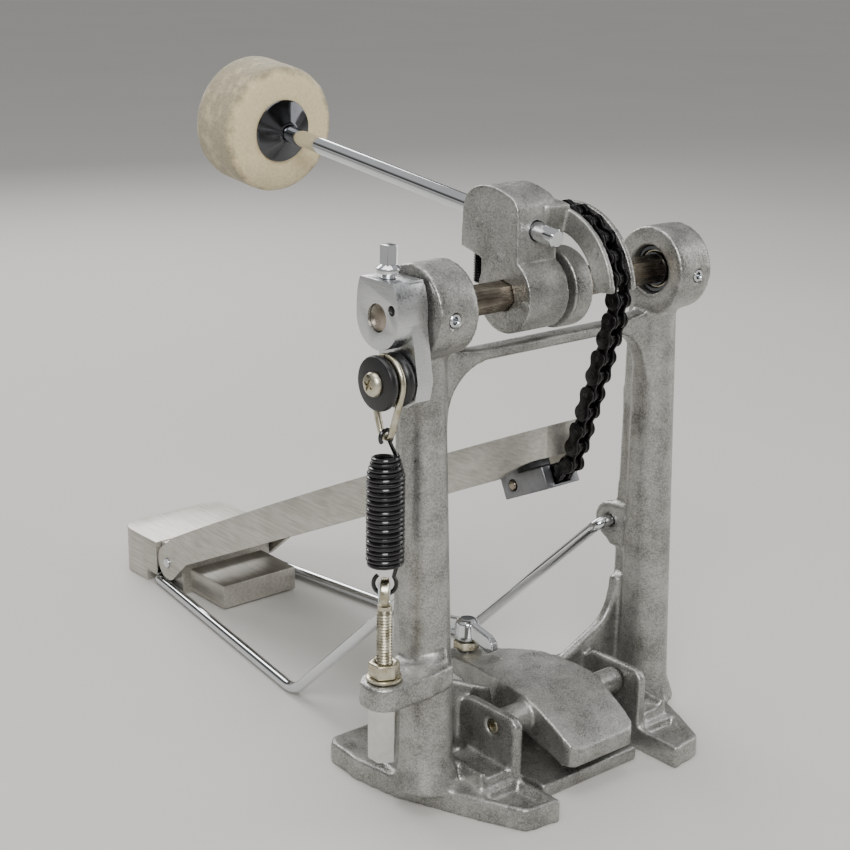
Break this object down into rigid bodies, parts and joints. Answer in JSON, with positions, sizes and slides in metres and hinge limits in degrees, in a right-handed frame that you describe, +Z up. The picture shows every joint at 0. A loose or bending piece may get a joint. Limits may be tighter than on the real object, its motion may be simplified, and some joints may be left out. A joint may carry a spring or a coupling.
{
  "type": "bass drum pedal",
  "caption": "Chain-driven bass drum pedal: cast frame with hoop clamp, hex axle, felt beater, side tension spring and hinged footboard.",
  "frame": {"origin": "on the floor midway between the two posts, straight below the axle", "axes": "+X along the axle, away from the spring side; +Y toward the player's heel; +Z up"},
  "size_m": [0.1761, 0.334, 0.2737],
  "materials": {
    "cast_aluminium": "tumbled sand-grey casting with fine sparkle",
    "satin_aluminium": "satin, faintly brushed along its length",
    "brushed_aluminium": "machined and brushed",
    "grey_aluminium": "dull grey machined",
    "chrome": "polished chrome plate",
    "zinc_plate": "yellowish bright zinc plate",
    "dull_steel": "bare steel, slightly brown",
    "black_oxide": "oiled black oxide",
    "spring_black": "gloss black lacquer",
    "black_nylon": "turned black nylon",
    "clear_nylon": "milky clear nylon",
    "cream_felt": "hard pressed wool felt"
  },
  "bodies": {
    "frame": {"frame_casting": "cast_aluminium", "bearing_outer_ring_left": "chrome", "bearing_outer_ring_right": "chrome", "bearing_ball_cage_left": "zinc_plate", "bearing_ball_cage_right": "zinc_plate", "housing_set_screw_left": "dull_steel", "housing_set_screw_right": "dull_steel", "clamp_pivot_screw_left": "zinc_plate", "clamp_pivot_screw_right": "zinc_plate", "eye_bolt": "zinc_plate", "eye_bush": "clear_nylon", "tension_washer": "zinc_plate", "radius_rod": "chrome", "heel_plate": "satin_aluminium", "heel_pin": "zinc_plate"},
    "axle": {"hex_axle": "dull_steel", "bearing_inner_ring_left": "chrome", "bearing_inner_ring_right": "chrome", "beater_hub": "cast_aluminium", "beater_clamp_bolt": "black_oxide", "spring_rocker": "brushed_aluminium", "rocker_key_screw": "chrome", "rocker_grub_screw": "black_oxide", "roller_screw": "zinc_plate", "chain_wrap": "black_oxide"},
    "beater": {"beater_shaft": "chrome", "beater_collar": "chrome", "beater_felt": "cream_felt"},
    "roller": {"spring_roller": "black_nylon"},
    "link": {"wire_link": "zinc_plate"},
    "spring": {"tension_spring": "spring_black"},
    "footboard": {"footboard": "satin_aluminium", "chain_tail": "black_oxide", "chain_anchor_block": "grey_aluminium", "chain_anchor_pin": "dull_steel"},
    "clamp": {"clamp_lever": "cast_aluminium", "wing_bolt_nut": "zinc_plate"},
    "wing": {"wing_bolt": "chrome"},
    "lock_nut": {"tension_nut": "zinc_plate"},
    "long_nut": {"tension_long_nut": "grey_aluminium"},
    "link_1": {"chain_link_1": "black_oxide"},
    "link_2": {"chain_link_2": "black_oxide"},
    "link_3": {"chain_link_3": "black_oxide"},
    "link_4": {"chain_link_4": "black_oxide"},
    "link_5": {"chain_link_5": "black_oxide"},
    "span": {"chain_span": "black_oxide"}
  },
  "joints": [
    {"name": "axle_turn", "type": "hinge", "parent": "frame", "child": "axle", "pos_m": [0, 0, 0.2], "axis": [1, 0, 0], "range_deg": [0, 79.28], "stiffness_Nm_per_rad": 0.5, "springref_deg": -17.19},
    {"name": "beater_height", "type": "slide", "parent": "axle", "child": "beater", "axis": [0, 0.9925, 0.1219], "range_m": [-0.02, 0.03]},
    {"name": "footboard_tilt", "type": "hinge", "parent": "frame", "child": "footboard", "pos_m": [0, 0.245, 0.016], "axis": [1, 0, 0], "range_deg": [0, 9.3]},
    {"name": "chain_link_1_bend", "type": "hinge", "parent": "axle", "child": "link_1", "pos_m": [0, -0.01358, 0.22562], "axis": [1, 0, 0], "range_deg": [-25.01, 0]},
    {"name": "chain_link_2_bend", "type": "hinge", "parent": "link_1", "child": "link_2", "pos_m": [0, -0.02006, 0.22094], "axis": [1, 0, 0], "range_deg": [-15.96, 0]},
    {"name": "chain_link_3_bend", "type": "hinge", "parent": "link_2", "child": "link_3", "pos_m": [0, -0.02502, 0.21466], "axis": [1, 0, 0], "range_deg": [-15.96, 0]},
    {"name": "chain_link_4_bend", "type": "hinge", "parent": "link_3", "child": "link_4", "pos_m": [0, -0.02807, 0.20727], "axis": [1, 0, 0], "range_deg": [-15.96, 0]},
    {"name": "chain_link_5_bend", "type": "hinge", "parent": "link_4", "child": "link_5", "pos_m": [0, -0.02899, 0.19932], "axis": [1, 0, 0], "range_deg": [-15.96, 0]},
    {"name": "chain_span_bend", "type": "hinge", "parent": "link_5", "child": "span", "pos_m": [0, -0.0277, 0.19142], "axis": [1, 0, 0], "range_deg": [-8.03, 0]},
    {"name": "roller_spin", "type": "hinge", "parent": "axle", "child": "roller", "pos_m": [-0.0905, -0.005, 0.178], "axis": [1, 0, 0], "continuous": true},
    {"name": "link_swing", "type": "hinge", "parent": "axle", "child": "link", "pos_m": [-0.0905, -0.005, 0.178], "axis": [1, 0, 0], "range_deg": [-94.89, 0]},
    {"name": "spring_stretch", "type": "slide", "parent": "link", "child": "spring", "axis": [0, 0, -1], "range_m": [0, 0.0166], "deforming": ["tension_spring"]},
    {"name": "clamp_tilt", "type": "hinge", "parent": "frame", "child": "clamp", "pos_m": [0, -0.007, 0.0275], "axis": [1, 0, 0], "range_deg": [-1, 5]},
    {"name": "wing_bolt_turn", "type": "hinge", "parent": "clamp", "child": "wing", "pos_m": [0, 0.05, 0.03], "axis": [0, 0, 1], "continuous": true},
    {"name": "lock_nut_turn", "type": "hinge", "parent": "frame", "child": "lock_nut", "pos_m": [-0.0905, -0.005, 0.068], "axis": [0, 0, 1], "continuous": true},
    {"name": "long_nut_turn", "type": "hinge", "parent": "frame", "child": "long_nut", "pos_m": [-0.0905, -0.005, 0.043], "axis": [0, 0, 1], "continuous": true}
  ],
  "couplings": [
    {"joint": "footboard_tilt", "follows": "axle_turn", "ratio": 0.116},
    {"joint": "chain_link_1_bend", "follows": "axle_turn", "ratio": -0.3142},
    {"joint": "chain_link_2_bend", "follows": "axle_turn", "ratio": -0.2},
    {"joint": "chain_link_3_bend", "follows": "axle_turn", "ratio": -0.2},
    {"joint": "chain_link_4_bend", "follows": "axle_turn", "ratio": -0.2},
    {"joint": "chain_link_5_bend", "follows": "axle_turn", "ratio": -0.2},
    {"joint": "chain_span_bend", "follows": "axle_turn", "ratio": -0.1},
    {"joint": "link_swing", "follows": "axle_turn", "ratio": -1.1956},
    {"joint": "spring_stretch", "follows": "axle_turn", "m_per_rad": 0.011919}
  ]
}
